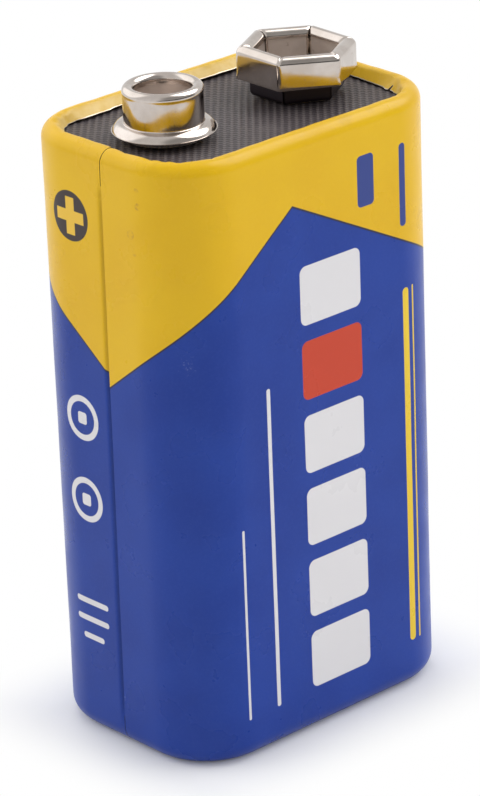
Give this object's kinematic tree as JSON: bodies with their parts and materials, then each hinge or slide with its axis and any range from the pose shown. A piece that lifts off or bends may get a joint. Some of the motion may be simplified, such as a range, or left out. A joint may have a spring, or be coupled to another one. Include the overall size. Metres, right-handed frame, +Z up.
{
  "type": "nine-volt block battery",
  "caption": "Upright rounded block battery in a lap-seamed two-colour tin jacket, with a round snap stud and a hexagonal snap socket on a black board.",
  "frame": {"origin": "middle of the underside, on the plane it stands on", "axes": "+Z up through the contacts, X along the wide sides with the round stud at -X, Y across the thickness"},
  "size_m": [0.026, 0.0176, 0.0485],
  "materials": {
    "printed_tin": "lithographed satin gloss, yellow over blue",
    "black_board": "black, finely embossed, matt",
    "nickel": "nickel-plated steel, bright, slightly worn",
    "tinned_strip": "tinned, dull",
    "grey_card": "plain grey card",
    "clear_film": "thin milky film",
    "zinc": "rolled zinc, dull",
    "paper": "paste-coated paper",
    "cathode_mix": "pressed black powder"
  },
  "bodies": {
    "root": {"jacket": "printed_tin", "terminal_board": "black_board", "bottom_plate": "black_board", "positive_stud": "nickel", "negative_socket": "nickel", "positive_rivet": "nickel", "negative_rivet": "nickel", "positive_tab": "tinned_strip", "negative_strip": "tinned_strip", "collector_plate": "tinned_strip", "top_insulator": "grey_card", "bottom_insulator": "grey_card", "jacket_liner": "grey_card", "stack_sleeve": "clear_film", "zinc_plate_1": "zinc", "separator_1": "paper", "cathode_cake_1": "cathode_mix", "cell_envelope_1": "clear_film", "zinc_plate_2": "zinc", "separator_2": "paper", "cathode_cake_2": "cathode_mix", "cell_envelope_2": "clear_film", "zinc_plate_3": "zinc", "separator_3": "paper", "cathode_cake_3": "cathode_mix", "cell_envelope_3": "clear_film", "zinc_plate_4": "zinc", "separator_4": "paper", "cathode_cake_4": "cathode_mix", "cell_envelope_4": "clear_film", "zinc_plate_5": "zinc", "separator_5": "paper", "cathode_cake_5": "cathode_mix", "cell_envelope_5": "clear_film", "zinc_plate_6": "zinc", "separator_6": "paper", "cathode_cake_6": "cathode_mix", "cell_envelope_6": "clear_film"}
  },
  "joints": []
}
